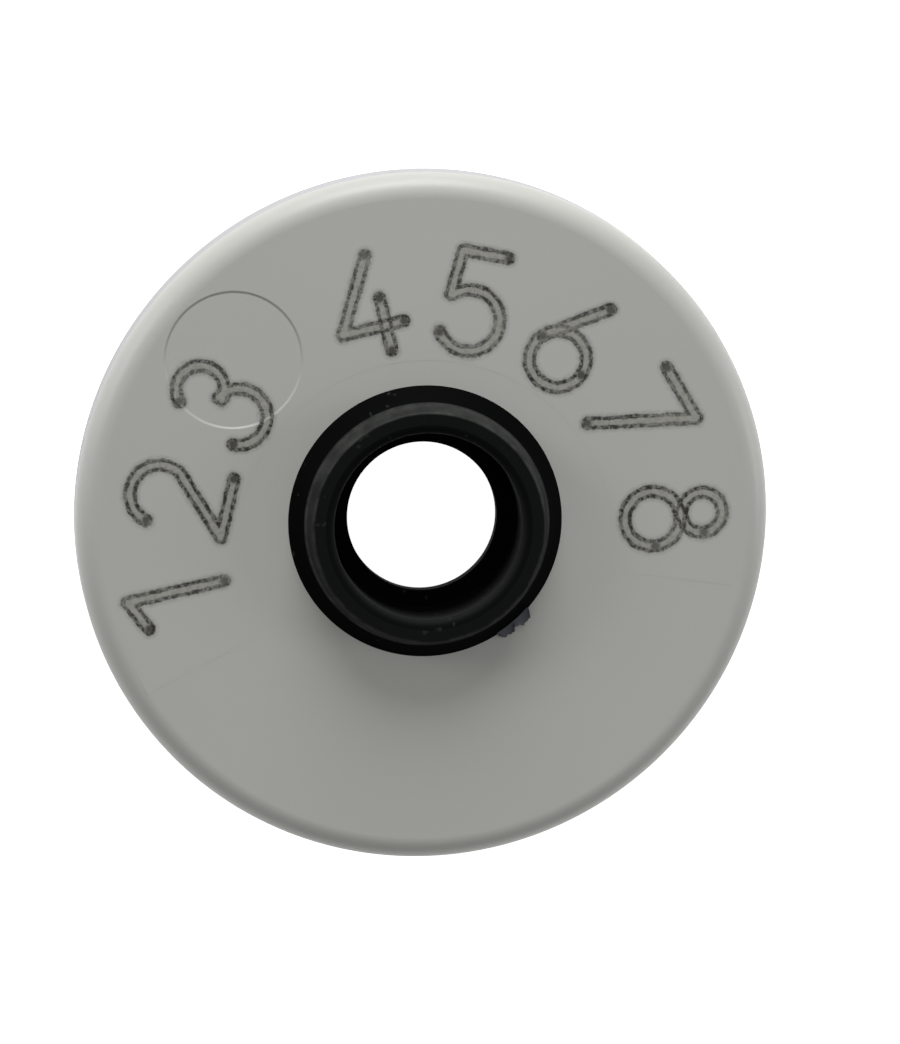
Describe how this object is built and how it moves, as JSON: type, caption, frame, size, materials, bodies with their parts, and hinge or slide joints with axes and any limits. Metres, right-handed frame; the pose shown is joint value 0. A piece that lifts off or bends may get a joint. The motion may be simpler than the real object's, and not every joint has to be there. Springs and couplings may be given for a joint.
{
  "type": "livestock ear tag button",
  "caption": "Round two-shell electronic ear tag button with a stepped centre collar, a through lock hole for the stud and plain numbers on an arc.",
  "frame": {"origin": "centre of the flat ear-side face, on the lock's axis", "axes": "+Z along the lock's axis towards the numbered face; +Y towards the middle of the arc of numbers, so that they read upright with +Y up and +X to the right"},
  "size_m": [0.03, 0.03, 0.0087],
  "materials": {
    "cover_plastic": "fine satin, laser-marked",
    "shell_plastic": "fine spark-eroded texture",
    "lock_plastic": "semi-gloss moulded",
    "copper_wire": "enamelled copper",
    "board_laminate": "solder resist",
    "chip_plastic": "moulded package",
    "capacitor_ceramic": "matt ceramic",
    "solder_metal": "bright solder",
    "potting_resin": "cast epoxy"
  },
  "bodies": {
    "root": {"front_cover": "cover_plastic", "back_shell": "shell_plastic", "lock_bush": "lock_plastic", "antenna_coil": "copper_wire", "circuit_board": "board_laminate", "transponder_chip": "chip_plastic", "tuning_capacitor": "capacitor_ceramic", "charge_capacitor": "capacitor_ceramic", "coil_lead_start": "copper_wire", "coil_lead_finish": "copper_wire", "solder_joint_start": "solder_metal", "solder_joint_finish": "solder_metal", "potting_resin": "potting_resin"}
  },
  "joints": []
}
